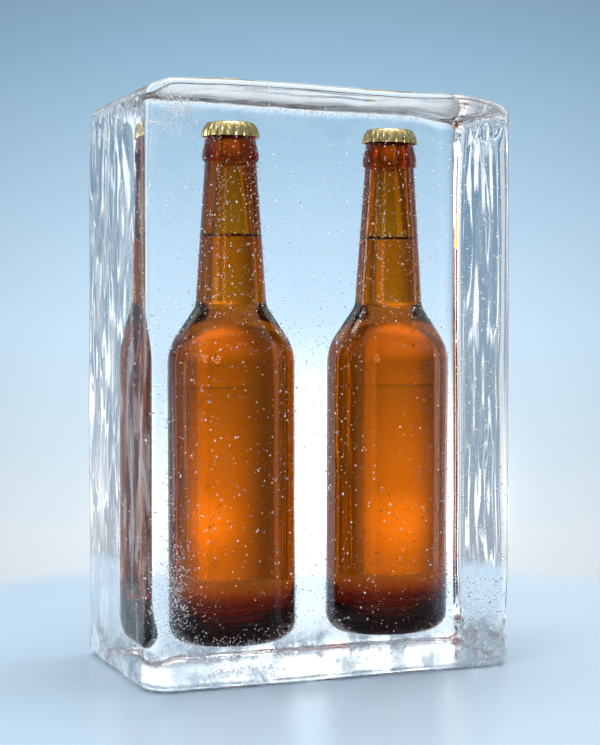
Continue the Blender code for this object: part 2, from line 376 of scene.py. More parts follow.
def cap_rings():
    """From the flat top, over the rounded shoulder, down the fluted skirt and up inside to the lining."""
    start = CAP_DISC_RADIUS - CAP_SHOULDER_IN
    rings = [flute_ring(CAP_DISC_RADIUS * 0.5, CAP_TOP, 0)]
    rings.append(flute_ring(start, CAP_TOP, 0))
    for step in range(1, 11):
        share = step / 10
        angle = math.radians(90) * share ** 0.9
        reach = CAP_SKIRT_RADIUS - CAP_DISC_RADIUS + CAP_SHOULDER_IN
        radius = start + reach * (0.62 * math.sin(angle) + 0.38 * share)
        height = CAP_TOP - CAP_HEIGHT * (0.30 * (1 - math.cos(angle)) + 0.70 * share ** 1.7)
        rings.append(flute_ring(radius, height, CAP_FLUTE_DEPTH * share ** 1.6))
    rings.append(flute_ring(CAP_SKIRT_RADIUS - CAP_STEEL, CAP_TOP - CAP_HEIGHT, CAP_FLUTE_DEPTH))
    rings.append(flute_ring(LIP_RADIUS + 0.5 * MM, CAP_LINING - 1 * MM, 0))
    rings.append(flute_ring(LIP_RADIUS - 1 * MM, CAP_LINING, 0))
    return rings


def make_cap(name):
    """One crimped cap, closed by its lining, with its axis on Z."""
    rings = cap_rings()
    points = [(0, 0, CAP_TOP)]
    for ring in rings:
        points += ring
    points.append((0, 0, CAP_LINING))
    faces = []
    for step in range(CAP_STEPS):
        after = (step + 1) % CAP_STEPS
        faces.append((0, 1 + step, 1 + after))
        for ring in range(len(rings) - 1):
            upper = 1 + ring * CAP_STEPS
            lower = upper + CAP_STEPS
            faces.append((upper + step, lower + step, lower + after, upper + after))
        last = 1 + (len(rings) - 1) * CAP_STEPS
        faces.append((last + after, last + step, len(points) - 1))
    return make_piece(name, points, faces)


gold_lacquer = make_material(
    "gold_lacquer", Base_Color=(0.52, 0.40, 0.16, 1), Roughness=0.24, Metallic=1.0
)
mottle(gold_lacquer, "Base Color", 90, (0.46, 0.35, 0.13), (0.58, 0.45, 0.2))
mottle(gold_lacquer, "Roughness", 120, 0.21, 0.27)

for side in STANDING:
    cap = stand(make_cap(side + "_crown_cap"), side)
    cap.data.materials.append(gold_lacquer)
    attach(cap, "root")
    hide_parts(side + "_cap")


# ------------------------------------------------------------------------------ the ice
# One block of clear ice, frozen round the bottles, sawn square and then melted smooth. Melting has
# left round edges of uneven size, upright ripples on the sides and a lumpy foot.

BLOCK_WIDTH = 190 * MM
BLOCK_DEPTH = 104 * MM
BLOCK_HEIGHT = 278 * MM
TOP_EDGE_RADIUS = 5 * MM
BASE_EDGE_RADIUS = 6 * MM
SHARPEST_CORNER = 1.5 * MM
CORNER_STEPS = 14
SIDE_LEVELS = 172
EDGE_STEPS = 10
TOP_RINGS = 12
# each upright edge: its radius halfway up, at the top and at the base, and the steps along the
# face that leads up to it
UPRIGHT_EDGES = {
    (1, -1): (13 * MM, 14 * MM, 17 * MM, 56),
    (1, 1): (8 * MM, 10 * MM, 12 * MM, 96),
    (-1, 1): (4 * MM, 11 * MM, 6 * MM, 150),
    (-1, -1): (4.5 * MM, 9 * MM, 15 * MM, 96),
}
ROUNDING_REACH = 45 * MM
# how far each upright edge was sawn away from its true corner, sideways and back, in mm
OUT_OF_SQUARE = {(1, -1): (-2.2, 0.0), (1, 1): (-1.0, 0.0), (-1, 1): (-2.4, 1.2), (-1, -1): (0.2, 0.0)}


def between(start, end, steps):
    """The points that part a straight line into so many steps, without its ends."""
    shares = np.arange(1, steps) / steps
    return [(start[0] + (end[0] - start[0]) * s, start[1] + (end[1] - start[1]) * s) for s in shares]


def smooth(share):
    """Goes gently from 0 to 1 as a share does, and stays there past either end."""
    share = max(0.0, min(1.0, share))
    return share * share * (3 - 2 * share)


def plan_outline(inset, height):
    """The block cut through at a height, with corners that melt rounder towards the ends."""
    near_top = smooth(1 - (BLOCK_HEIGHT - height) / ROUNDING_REACH)
    near_base = smooth(1 - height / ROUNDING_REACH)
    outline = []
    start = -90
    for (right, back), (middle, top, base, steps_before) in UPRIGHT_EDGES.items():
        full = middle + (top - middle) * near_top + (base - middle) * near_base
        radius = max(full - inset, SHARPEST_CORNER)
        centre = (
            right * (BLOCK_WIDTH / 2 - inset - radius),
            back * (BLOCK_DEPTH / 2 - inset - radius),
        )
        turned = arc(centre, radius, math.radians(start), math.radians(start + 90), CORNER_STEPS)
        if outline:
            outline += between(outline[-1], turned[0], steps_before)
        outline += turned
        start += 90
    return outline + between(outline[-1], outline[0], UPRIGHT_EDGES[(1, -1)][3])


def block_levels():
    """(height, inset) up the block: base edge, side, top edge, and rings in over the top."""
    turns = [math.radians(90) * step / EDGE_STEPS for step in range(EDGE_STEPS + 1)]
    levels = []
    for turned in turns:
        height = BASE_EDGE_RADIUS * (1 - math.cos(turned))
        levels.append((height, BASE_EDGE_RADIUS * (1 - math.sin(turned))))
    straight = BLOCK_HEIGHT - BASE_EDGE_RADIUS - TOP_EDGE_RADIUS
    levels += [(BASE_EDGE_RADIUS + straight * n / SIDE_LEVELS, 0) for n in range(1, SIDE_LEVELS)]
    for turned in turns:
        height = BLOCK_HEIGHT - TOP_EDGE_RADIUS * (1 - math.sin(turned))
        levels.append((height, TOP_EDGE_RADIUS * (1 - math.cos(turned))))
    reach = BLOCK_DEPTH / 2 - 2 * SHARPEST_CORNER - TOP_EDGE_RADIUS
    for ring in range(1, TOP_RINGS + 1):
        levels.append((BLOCK_HEIGHT, TOP_EDGE_RADIUS + reach * ring / TOP_RINGS))
    return levels


def waves(x, y, z, across, upright, seed):
    """Smooth noise with so many waves per metre across and up."""
    return noise.noise(Vector((x * across, y * across, z * upright + seed)))


def melt(x, y, z):
    """How deep melting has drawn the surface in: faint on the front, upright ripples elsewhere."""
    facing_front = smooth((-y / BLOCK_DEPTH - 0.40) * 12)
    end = smooth(1 - min(z, BLOCK_HEIGHT - z) / (22 * MM))
    drift = 9 * MM * waves(x, y, z, 20, 16, 2)
    ripple = 0.42 * MM * waves(x + drift, y + drift, z, 60, 12, 0)
    fine = 0.09 * MM * waves(x - drift, y + drift, z, 170, 38, 7)
    swell = 0.75 * MM * waves(x, y, z, 17, 9, 5)
    lumps = 0.45 * MM * end * waves(x, y, z, 90, 90, 3)
    lumps += 0.14 * MM * end * waves(x, y, z, 260, 200, 8)
    foot = 1.0 * MM * smooth(1 - z / (14 * MM))
    calm = 1 - 0.55 * smooth((x - 60 * MM) / (25 * MM))
    calm *= 1 - 0.6 * smooth((-x - 80 * MM) / (12 * MM)) * smooth(0.5 - y / (50 * MM))
    side = (calm * ripple + calm * calm * fine + swell + 0.45 * MM) * (1 - 0.88 * facing_front)
    return -foot + side + lumps * (1 - 0.5 * facing_front)


def saw_offset(x, y):
    """How far off square the block is at a place, between the offsets of its four upright edges."""
    right_share = 0.5 + x / BLOCK_WIDTH
    back_share = 0.5 + y / BLOCK_DEPTH
    sideways = 0.0
    back = 0.0
    for (right, behind), offset in OUT_OF_SQUARE.items():
        weight = right_share if right > 0 else 1 - right_share
        weight *= back_share if behind > 0 else 1 - back_share
        sideways += weight * offset[0] * MM
        back += weight * offset[1] * MM
    return sideways, back


def crown(x):
    """The top stands highest left of the middle and has melted down at both ends."""
    rise = 1.3 * MM * math.exp(-((x + 45 * MM) / (48 * MM)) ** 2)
    right_end = 4.6 * MM * smooth((x - 62 * MM) / (34 * MM)) ** 1.4
    return rise - right_end - 3.4 * MM * smooth((-x - 81 * MM) / (12 * MM))


def make_block():
    """The points and faces of the whole block, melted."""
    levels = block_levels()
    points = []
    for height, inset in levels:
        for x, y in plan_outline(inset, height):
            depth = melt(x, y, height)
            over_top = smooth(inset / TOP_EDGE_RADIUS) * smooth((height - 200 * MM) / (50 * MM))
            dip = 0.35 * MM * (waves(x, y, 0, 45, 0, 9) + 0.5) + 0.12 * MM * waves(x, y, 0, 150, 0, 4)
            side = 1 - over_top
            sideways, back = saw_offset(x, y)
            points.append((
                x * (1 - depth * side / (BLOCK_WIDTH / 2)) + sideways,
                y * (1 - depth * side / (BLOCK_DEPTH / 2)) + back,
                height - max(0, dip) * over_top + crown(x) * smooth((height - 235 * MM) / (43 * MM)),
            ))
    count = len(points) // len(levels)
    faces = []
    for ring in range(len(levels) - 1):
        for step in range(count):
            after = (step + 1) % count
            low = ring * count
            high = low + count
            faces.append((low + step, low + after, high + after, high + step))
    faces.append(tuple(range(count - 1, -1, -1)))
    top = (len(levels) - 1) * count
    faces.append(tuple(range(top, top + count)))
    return points, faces


# how far in from the base and the top the frost starts on average, how far its edge wanders, the
# wander that gives full frost right at the end, and how rough full frost is
FROST_DEPTH = 10 * MM
FROST_WANDER = 30 * MM
FROST_FULL = 12 * MM
FROST_ROUGHNESS = 0.1


def make_ice_look():
    """Glass-clear on its broad faces, and frosted in patches along the base and the top."""
    material = make_material(
        "clear_ice", Base_Color=(1, 1, 1, 1), IOR=1.31, Transmission_Weight=1.0,
        Specular_Tint=(0.2, 0.2, 0.2, 1),
    )
    add_absorption(material, (0.70, 0.88, 0.97), 0.8)
    tree = material.node_tree
    coords = add_node(tree, "TexCoord").outputs["Object"]
    split = add_node(tree, "SeparateXYZ", first=coords)
    middle = add_node(tree, "Math", "SUBTRACT", first=split.outputs["Z"], second=BLOCK_HEIGHT / 2)
    away = add_node(tree, "Math", "ABSOLUTE", first=middle.outputs[0]).outputs[0]
    patches = add_node(tree, "TexNoise", Vector=coords, Scale=38, Detail=5).outputs["Fac"]
    shift = add_node(tree, "Math", "MULTIPLY_ADD", first=patches, second=FROST_WANDER, third=away)
    frost = add_node(
        tree, "MapRange", "SMOOTHSTEP", Value=shift.outputs[0],
        From_Min=BLOCK_HEIGHT / 2 - FROST_DEPTH + FROST_WANDER / 2,
        From_Max=BLOCK_HEIGHT / 2 + FROST_FULL,
        To_Min=0.0, To_Max=FROST_ROUGHNESS,
    )
    feed(material, "Roughness", frost.outputs["Result"])
    return material


clear_ice = make_ice_look()

ice_points, ice_faces = make_block()
ice_block = make_piece("ice_block", ice_points, ice_faces)
ice_block.data.materials.append(clear_ice)
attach(ice_block, "root")
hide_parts("ice_front", "ice_back")


# ------------------------------------------------------------------------------ the air in the ice
# Air that came out of the water as it froze: loose bubbles, beads that settled along the glass,
# and finer ones packed into milky clouds near the base and the corners.

BIG_BUBBLE = 0.46 * MM
CLEAR_OF_GLASS = 0.7 * MM
CLEAR_OF_CAP = 1 * MM
# how far off the glass the beads sit, at least and further out, in mm
BEAD_GAP = 0.45
BEAD_SPREAD = 2.2
AIR_IN_ICE = 1 / 1.31
air = random.Random(11)

air_bubble = make_material(
    "air_bubble", Base_Color=(1, 1, 1, 1), Roughness=0.0, IOR=AIR_IN_ICE, Transmission_Weight=1.0,
)
white_bubble = make_material(
    "white_bubble", Base_Color=(0.95, 0.97, 1.0, 1), Roughness=0.35, Subsurface_Weight=1.0,
    Subsurface_Scale=0.001, Subsurface_Radius=(1, 1, 1),
)
mottle(white_bubble, "Base Color", 700, (0.84, 0.90, 0.96), (1.0, 1.0, 1.0))

SMALL_BALL = ball_mesh(1)


def make_bubbles(name, bubbles, white_share):
    """Two meshes of many bubbles, each given as (x, y, z, radius): the clear ones and the white."""
    whites = round(len(bubbles) * white_share)
    air.shuffle(bubbles)
    add_bubble_mesh(name, bubbles[whites:], air_bubble)
    add_bubble_mesh("white_" + name, bubbles[:whites], white_bubble)


def add_bubble_mesh(name, bubbles, look):
    """Many bubbles in one mesh, each drawn out a little at random."""
    points = []
    faces = []
    for x, y, z, radius in bubbles:
        ball, ball_faces = ROUND_BALL if radius > BIG_BUBBLE else SMALL_BALL
        stretch = (radius, radius * air.uniform(0.8, 1.0), radius * air.uniform(0.8, 1.3))
        first = len(points)
        points += (ball * stretch + (x, y, z)).tolist()
        faces += [[first + corner for corner in face] for face in ball_faces]
    piece = make_piece(name, points, faces, sharp=math.radians(80))
    piece.data.materials.append(look)
    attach(piece, "root")


def bubble_size(smallest, largest):
    """Mostly small, a few large."""
    return smallest + (largest - smallest) * air.random() ** 1.7


def clear_of_bottles(x, y, z):
    """Whether a place in the ice is outside both bottles."""
    for middle, lean in STANDING.values():
        up = z - BASE_LIFT
        offset = math.hypot(x - middle - lean * up, y - AXIS_PLANE_Y)
        if 0 < up < CAP_TOP + CLEAR_OF_CAP and offset < glass_reach(up) + CLEAR_OF_GLASS:
            return False
    return True


GLASS_RADII, GLASS_HEIGHTS = np.array(glass_outside()[3:]).T


def glass_reach(up):
    """The radius of a bottle and its cap at a height above its base."""
    if up > CAP_TOP - CAP_HEIGHT:
        return CAP_SKIRT_RADIUS + CAP_FLUTE_DEPTH
    return float(np.interp(up, GLASS_HEIGHTS, GLASS_RADII))


def scatter(count, low, high, smallest, largest):
    """Bubbles at random in a box of the ice, clear of the bottles."""
    bubbles = []
    while len(bubbles) < count:
        place = [air.uniform(start, end) * MM for start, end in zip(low, high)]
        if clear_of_bottles(*place):
            bubbles.append((*place, bubble_size(smallest, largest) * MM))
    return bubbles


def beads(side, count, lowest, highest, smallest, largest):
    """Bubbles that cling in the ice just off the glass of one bottle."""
    middle, lean = STANDING[side]
    bubbles = []
    for number in range(count):
        up = air.uniform(lowest, highest) * MM
        turned = air.uniform(0, 2 * math.pi)
        reach = glass_reach(up) + (BEAD_GAP + BEAD_SPREAD * air.random() ** 3) * MM
        x = middle + lean * up + reach * math.cos(turned)
        y = AXIS_PLANE_Y + reach * math.sin(turned)
        bubbles.append((x, y, BASE_LIFT + up, bubble_size(smallest, largest) * MM))
    return bubbles


CLOUD_REACH = (93.5 * MM, 50.5 * MM)
CLOUD_HEIGHTS = (1 * MM, 276.5 * MM)


def cloud(count, centre, spread, smallest, largest):
    """A puff of fine bubbles, thickest in its middle, kept to a box a little smaller than the block."""
    bubbles = []
    while len(bubbles) < count:
        place = [(middle + air.gauss(0, width)) * MM for middle, width in zip(centre, spread)]
        inside = abs(place[0]) < CLOUD_REACH[0] and abs(place[1]) < CLOUD_REACH[1]
        inside = inside and CLOUD_HEIGHTS[0] < place[2] < CLOUD_HEIGHTS[1]
        if inside and clear_of_bottles(*place):
            bubbles.append((*place, bubble_size(smallest, largest) * MM))
    return bubbles


def gather(way, groups):
    """All the bubbles of several groups, each made in the same way."""
    bubbles = []
    for group in groups:
        bubbles += way(*group)
    return bubbles


# loose bubbles in boxes of the ice: how many, the box's two corners, smallest and largest, in mm
LOOSE_BUBBLES = [
    (700, (-80, -50, 20), (80, -26, 262), 0.15, 0.5),
    (700, (-10, -50, 20), (12, 48, 250), 0.15, 0.5),
    (800, (-80, -50, 60), (-20, 48, 240), 0.15, 0.45),
]
SIDE_BUBBLES = [
    (600, (-93, -48, 15), (-82, 48, 262), 0.15, 0.55),
    (700, (74, -50, 15), (92, 45, 262), 0.15, 0.55),
]
# beads on the glass: how many, from what height to what height, smallest and largest, in mm, and
# the share that is white
BEADS = {
    "body_beads": (2200, 2, 150, 0.13, 0.45, 0.05),
    "neck_beads": (1000, 150, 244, 0.14, 0.45, 0.55),
    "heel_beads": (900, -1, 38, 0.13, 0.34, 0.25),
}
# clouds: how many bubbles, the middle, the spread, smallest and largest, in mm
FROST_CLOUDS = [
    (1300, (-81, -44, 42), (5, 3, 14), 0.12, 0.3),
    (700, (-50, -38, 14), (16, 8, 5), 0.12, 0.3),
    (900, (80, 0, 22), (7, 25, 14), 0.12, 0.32),
    (900, (0, 0, 6), (60, 30, 3), 0.12, 0.32),
    (600, (-78, -20, 262), (8, 20, 7), 0.12, 0.3),
]
EDGE_SPECKS = [
    (300, (-78, -46, 266), (4, 1.6, 3), 0.2, 0.42),
    (300, (-50, -47, 7), (13, 1.2, 1.8), 0.2, 0.42),
    (260, (8, -47, 7), (11, 1.2, 1.8), 0.2, 0.42),
    (300, (-88, 5, 262), (2, 14, 4), 0.2, 0.42),
    (260, (0, -46, 265.5), (34, 1.5, 0.9), 0.2, 0.36),
]

make_bubbles("loose_bubbles", gather(scatter, LOOSE_BUBBLES), 0.5)
for side in STANDING:
    for name, (*group, white_share) in BEADS.items():
        make_bubbles(f"{side}_{name}", beads(side, *group), white_share)
make_bubbles("side_bubbles", gather(scatter, SIDE_BUBBLES), 0.7)
make_bubbles("frost_clouds", gather(cloud, FROST_CLOUDS), 0.7)
make_bubbles("edge_specks", gather(cloud, EDGE_SPECKS), 0.1)


# ------------------------------------------------------------------------------ the white ice
# Ice so full of air too fine to see that it looks white: a thin rime along the base, the top edge
# and both ends. The rime along the base is coloured a darker blue-grey, as painted shade near the
# floor. The puffs in the corners fade to clear at their own skin, and so don't show.

RIME_OUT = 0.10 * MM
RIME_IN = 0.35 * MM
RIME_STRIDE = 2
RIME_OVER_TOP = TOP_EDGE_RADIUS + 6 * MM
# how far a rime's edge wanders, and the places on that scale where it is full and where it is gone
RIME_WANDER = 55 * MM
RIME_FULL = -28 * MM
RIME_GONE = -14 * MM
# where on Y a rime is down to the share left on the front, and where it starts to thin
RIME_FRONT = -50.5 * MM
RIME_NEAR_FRONT = -44 * MM
SIDE_RIME_COVER = 0.2
SIDE_RIME_HEIGHTS = (18 * MM, 264 * MM)
# each puff: its centre and its reach each way, in mm, and its thickest cover
PUFFS = [
    ((-80, -43, 42), (11, 4, 32), 0.85),
    ((-45, -38, 12), (40, 8, 9), 0.8),
    ((82, -20, 31), (11, 26, 28), 0.8),
    ((60, -34, 12), (34, 12, 12), 0.7),
    ((-72, -38, 258), (22, 8, 16), 0.7),
    ((84, 10, 258), (9, 30, 18), 0.6),
]


def make_puff_look(name, cover):
    """White and soft, in wisps, and thinner with the distance from the puff's middle."""
    material = make_material(
        name, Base_Color=(0.93, 0.965, 1.0, 1), Roughness=0.7, Subsurface_Weight=1.0,
        Subsurface_Scale=0.004, Subsurface_Radius=(1, 1, 1), Specular_Tint=(0, 0, 0, 1),
    )
    tree = material.node_tree
    coords = add_node(tree, "TexCoord")
    wisps = add_node(
        tree, "TexNoise", Vector=coords.outputs["Object"], Scale=120, Detail=6, Roughness=0.62,
        Distortion=0.8,
    )
    thin = add_node(
        tree, "MapRange", "SMOOTHSTEP", Value=wisps.outputs["Fac"], From_Min=0.34, From_Max=0.60,
        To_Max=cover,
    )
    offset = add_node(
        tree, "VectorMath", "DISTANCE", first=coords.outputs["Generated"], second=(0.5, 0.5, 0.5)
    )
    fade = add_node(
        tree, "MapRange", "SMOOTHSTEP", Value=offset.outputs["Value"], From_Min=0.12, From_Max=0.5,
        To_Min=1, To_Max=0,
    )
    both = add_node(tree, "Math", "MULTIPLY", first=thin.outputs["Result"], second=fade.outputs["Result"])
    feed(material, "Alpha", both.outputs[0])
    return material


def make_rime(name, lowest, highest, where=None):
    """A closed thin skin that follows the melted surface of the block between two heights.

    It goes all round, or along the stretch of the outline where a test on (x, y) holds.
    """
    levels = block_levels()
    count = len(ice_points) // len(levels)
    rows = [row for row, (height, inset) in enumerate(levels)
            if lowest <= height <= highest and inset < RIME_OVER_TOP][::RIME_STRIDE]
    columns = [column for column in range(0, count, RIME_STRIDE)
               if where is None or where(*ice_points[rows[0] * count + column][:2])]
    surface = np.array([[ice_points[row * count + column] for column in columns] for row in rows])
    before = [[ice_points[row * count + (column - 1) % count] for column in columns] for row in rows]
    behind = [[ice_points[row * count + (column + 1) % count] for column in columns] for row in rows]
    outward = np.cross(np.array(behind) - np.array(before), np.gradient(surface, axis=0))
    outward /= np.linalg.norm(outward, axis=2, keepdims=True)
    skins = [surface + outward * RIME_OUT, surface - outward * RIME_IN]
    points = np.concatenate([skin.reshape(-1, 3) for skin in skins]).tolist()
    wide, inner = len(columns), len(rows) * len(columns)
    faces = []
    for step in range(wide if where is None else wide - 1):
        after = (step + 1) % wide
        for row in range(len(rows) - 1):
            low, high = row * wide, (row + 1) * wide
            faces.append((low + step, low + after, high + after, high + step))
            under, over = inner + low, inner + high
            faces.append((under + after, under + step, over + step, over + after))
        top = (len(rows) - 1) * wide
        faces.append((after, step, inner + step, inner + after))
        faces.append((top + step, top + after, inner + top + after, inner + top + step))
    if where is not None:
        for row in range(len(rows) - 1):
            low, high = row * wide, (row + 1) * wide
            faces.append((low, high, inner + high, inner + low))
            low, high = low + wide - 1, high + wide - 1
            faces.append((high, low, inner + low, inner + high))
    return make_piece(name, points, faces)


def make_side_rime_look():
    """A thin breath of frost in broad soft upright streaks."""
    material = make_material(
        "side_rime_look", Base_Color=(0.94, 0.97, 0.99, 1), Roughness=0.6, Subsurface_Weight=1.0,
        Subsurface_Scale=0.002, Subsurface_Radius=(1, 1, 1),
    )
    tree = material.node_tree
    coords = add_node(tree, "TexCoord")
    stretch = add_node(tree, "Mapping", Vector=coords.outputs["Object"], Scale=(1, 1, 0.22))
    streaks = add_node(
        tree, "TexNoise", Vector=stretch.outputs["Vector"], Scale=70, Detail=5, Roughness=0.6,
        Distortion=0.9,
    )
    cover = add_node(
        tree, "MapRange", "SMOOTHSTEP", Value=streaks.outputs["Fac"], From_Min=0.46, From_Max=0.68,
        To_Max=SIDE_RIME_COVER,
    )
    feed(material, "Alpha", cover.outputs["Result"])
    return material


def make_rime_look(name, end, direction, front_cover, thickest, colour):
    """Frost that thins out away from one end, in clumps and fine upright hairs: white, or a darker colour
    as painted shade.
    """
    material = make_material(
        name, Base_Color=(*colour, 1), Roughness=0.6, Subsurface_Weight=1.0,
        Subsurface_Scale=0.002, Subsurface_Radius=(1, 1, 1),
    )
    tree = material.node_tree
    coords = add_node(tree, "TexCoord").outputs["Object"]
    split = add_node(tree, "SeparateXYZ", first=coords)
    height = add_node(tree, "Math", "ADD", first=split.outputs["Z"], second=-end)
    inward = add_node(tree, "Math", "MULTIPLY", first=height.outputs[0], second=direction).outputs[0]
    clumps = add_node(tree, "TexNoise", Vector=coords, Scale=34, Detail=4, Roughness=0.6, Distortion=0.6)
    shifted = add_node(
        tree, "Math", "MULTIPLY_ADD", first=clumps.outputs["Fac"], second=-RIME_WANDER, third=inward
    )
    band = add_node(
        tree, "MapRange", "SMOOTHSTEP", Value=shifted.outputs[0], From_Min=RIME_FULL, From_Max=RIME_GONE,
        To_Min=1.0, To_Max=0.0,
    )
    stretch = add_node(tree, "Mapping", Vector=coords, Scale=(1, 1, 0.25))
    hairs = add_node(
        tree, "TexNoise", Vector=stretch.outputs["Vector"], Scale=620, Detail=3, Roughness=0.6
    )
    grain = add_node(
        tree, "MapRange", Value=hairs.outputs["Fac"], From_Min=0.36, From_Max=0.60, To_Min=0.45,
        To_Max=1.0,
    )
    patches = add_node(tree, "TexNoise", Vector=coords, Scale=90, Detail=3, Roughness=0.5)
    gaps = add_node(
        tree, "MapRange", "SMOOTHSTEP", Value=patches.outputs["Fac"], From_Min=0.35, From_Max=0.52,
        To_Min=0.12 * thickest, To_Max=thickest,
    )
    front = add_node(
        tree, "MapRange", Value=split.outputs["Y"], From_Min=RIME_FRONT, From_Max=RIME_NEAR_FRONT,
        To_Min=front_cover, To_Max=1.0,
    )
    cover = band.outputs["Result"]
    for part in (front, grain, gaps):
        cover = add_node(tree, "Math", "MULTIPLY", first=cover, second=part.outputs["Result"]).outputs[0]
    feed(material, "Alpha", cover)
    return material


# each rime: from and to what height, the end that it thins out from and the way in from there, the
# share left on the front, the thickest cover, and the colour
RIMES = {
    # the base rime's blue-grey colour is painted shade near the floor, darker than the white top rime
    "base_rime_painted_shade": (0, 60 * MM, 0, 1, 0.7, 0.9, (0.62, 0.71, 0.8)),
    "top_rime": (228 * MM, BLOCK_HEIGHT, BLOCK_HEIGHT, -1, 0.3, 0.07, (0.94, 0.97, 0.99)),
}
for name, (lowest, highest, *look) in RIMES.items():
    rime = make_rime(name, lowest, highest)
    rime.data.materials.append(make_rime_look(name + "_look", *look))
    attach(rime, "root")


side_rime_look = make_side_rime_look()
for name, where in (
    ("left_rime", lambda x, y: x < -90 * MM and abs(y) < 50 * MM),
    ("right_rime", lambda x, y: x > 84 * MM and abs(y) < 47 * MM),
):
    rime = make_rime(name, *SIDE_RIME_HEIGHTS, where)
    rime.data.materials.append(side_rime_look)
    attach(rime, "root")


def make_puff(name, centre, size):
    """A ball drawn out to so many mm each way from its centre."""
    ball, faces = ball_mesh(4)
    points = ball * np.array(size) * MM + np.array(centre) * MM
    return make_piece(name, points.tolist(), faces)


for number, (centre, size, cover) in enumerate(PUFFS):
    puff = make_puff(f"milky_puff_{number + 1}", centre, size)
    puff.data.materials.append(make_puff_look(f"milky_ice_{number + 1}", cover))
    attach(puff, "root")


# ------------------------------------------------------------------------------ the hairline crack
# One thin crack in the ice, from strain as it froze, open by a fraction of a millimetre. It runs down
# and in from the top edge of the front, and air in it shows white.

CRACK_PLACE = (-36.5 * MM, -51.2 * MM, 277 * MM)
CRACK_HEIGHT = 17 * MM
CRACK_DEPTH = 13 * MM
CRACK_OPENING = 0.42 * MM
CRACK_TURN = math.radians(15.6)
CRACK_ROWS = 24

crack_points = []
for row in range(CRACK_ROWS + 1):
    share = row / CRACK_ROWS
    sway = 0.5 * MM * waves(0, 0, share, 1, 3, 21) * share
    depth = CRACK_DEPTH * (1 - 0.85 * share ** 1.5)
    opening = CRACK_OPENING * (1 - 0.8 * share)
    for inward, side in ((0.4 * MM, 1), (depth, 0.2), (depth, -0.2), (0.4 * MM, -1)):
        x = sway + side * opening / 2
        crack_points.append((
            CRACK_PLACE[0] + x + inward * math.sin(CRACK_TURN),
            CRACK_PLACE[1] + inward * math.cos(CRACK_TURN),
            CRACK_PLACE[2] - CRACK_HEIGHT * share,
        ))
crack_faces = [(0, 1, 2, 3), tuple(4 * CRACK_ROWS + corner for corner in (3, 2, 1, 0))]
for row in range(CRACK_ROWS):
    for corner in range(4):
        after = (corner + 1) % 4
        low, high = 4 * row, 4 * row + 4
        crack_faces.append((low + after, low + corner, high + corner, high + after))
crack = make_piece("hairline_crack", crack_points, crack_faces)
crack.data.materials.append(white_bubble)
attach(crack, "root")


# ------------------------------------------------------------------------------ floor, light, camera
# A plain pale floor and a pale blue backdrop, with soft lights round the block. The lights behind it
# shine through the ice and the bottles.

FLOOR_REACH = 0.45
FLOOR_SOLID = 0.27
FLOOR_FADE = 0.34
FLOOR_HEIGHT = -0.2 * MM
FLOOR_STEPS = 96
floor_points = [(0, 0, FLOOR_HEIGHT)]
for step in range(FLOOR_STEPS):
    angle = 2 * math.pi * step / FLOOR_STEPS
    floor_points.append((FLOOR_REACH * math.cos(angle), FLOOR_REACH * math.sin(angle), FLOOR_HEIGHT))
floor_faces = [(0, 1 + step, 1 + (step + 1) % FLOOR_STEPS) for step in range(FLOOR_STEPS)]
floor = make_piece("floor", floor_points, floor_faces)


def make_floor_look():
    """Pale and slightly glossy near the block, fading out into the backdrop further away."""
    material = make_material("pale_floor", Base_Color=(0.33, 0.42, 0.50, 1), Roughness=0.3)
    mottle(material, "Base Color", 9, (0.31, 0.40, 0.48), (0.35, 0.44, 0.52))
    tree = material.node_tree
    coords = add_node(tree, "TexCoord")
    length = add_node(tree, "VectorMath", "LENGTH", first=coords.outputs["Object"])
    fade = add_node(
        tree, "MapRange", "SMOOTHSTEP", Value=length.outputs["Value"], From_Min=FLOOR_SOLID,
        From_Max=FLOOR_FADE, To_Min=1, To_Max=0,
    )
    feed(material, "Alpha", fade.outputs["Result"])
    return material


floor.data.materials.append(make_floor_look())
floor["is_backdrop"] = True


BACKDROP_BEARING = (0.3566, 0.9343, 0)
# the backdrop's colour from below to above, and its share from in front round to behind the block
BACKDROP_UPWARD = [
    (0.0, (0.6, 0.7, 0.8)), (0.15, (0.8, 0.88, 0.95)), (0.3, (0.96, 1.04, 1.12)),
    (0.37, (0.92, 1.02, 1.1)), (0.43, (0.74, 0.9, 1.02)), (0.5, (0.65, 0.86, 1.05)),
    (0.6, (0.46, 0.68, 0.88)), (0.67, (0.34, 0.56, 0.75)), (0.74, (0.28, 0.42, 0.55)),
    (0.85, (0.5, 0.6, 0.7)), (1.0, (1.9, 1.95, 2.0)),
]
BACKDROP_AROUND = [
    (0.0, 0.45), (0.25, 0.5), (0.45, 0.75), (0.75, 0.65), (0.82, 0.36), (0.92, 0.40), (0.965, 0.45),
    (0.9875, 0.78), (0.9935, 0.88), (1.0, 1.0),
]


def add_ramp(tree, share, stops):
    """Turns a share from 0 to 1 into a colour, in straight steps between the stops."""
    made = add_node(tree, "ValToRGB", Fac=share)
    ramp = made.color_ramp
    ramp.interpolation = "LINEAR"
    ramp.elements[0].position, ramp.elements[0].color = stops[0][0], (*stops[0][1], 1)
    ramp.elements[1].position, ramp.elements[1].color = stops[-1][0], (*stops[-1][1], 1)
    for position, colour in stops[1:-1]:
        ramp.elements.new(position).color = (*colour, 1)
    return made.outputs["Color"]


